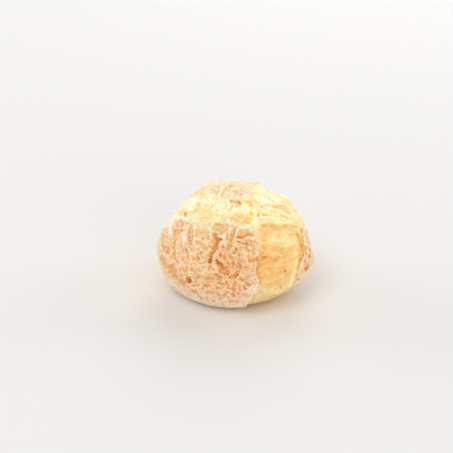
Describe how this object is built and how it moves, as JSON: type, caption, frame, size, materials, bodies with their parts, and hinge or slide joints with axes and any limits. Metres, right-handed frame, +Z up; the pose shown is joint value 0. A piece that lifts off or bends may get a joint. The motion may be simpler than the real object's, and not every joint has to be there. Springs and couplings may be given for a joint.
{
  "type": "cheese bread ball",
  "caption": "Baked cheese bread ball of domed, lopsided form, with thin cracked crust plates over stretched dough and a flat spot to rest on.",
  "frame": {"origin": "middle of the foot of the bounding box, on the surface that the bread rests on", "axes": "+Z up, -Y towards the front with the broad crust plate, +X to the right"},
  "size_m": [0.0554, 0.054, 0.0388],
  "materials": {
    "crust": "dry golden baked crust, matt"
  },
  "bodies": {
    "root": {"cheese_bread_ball": "crust"}
  },
  "joints": []
}
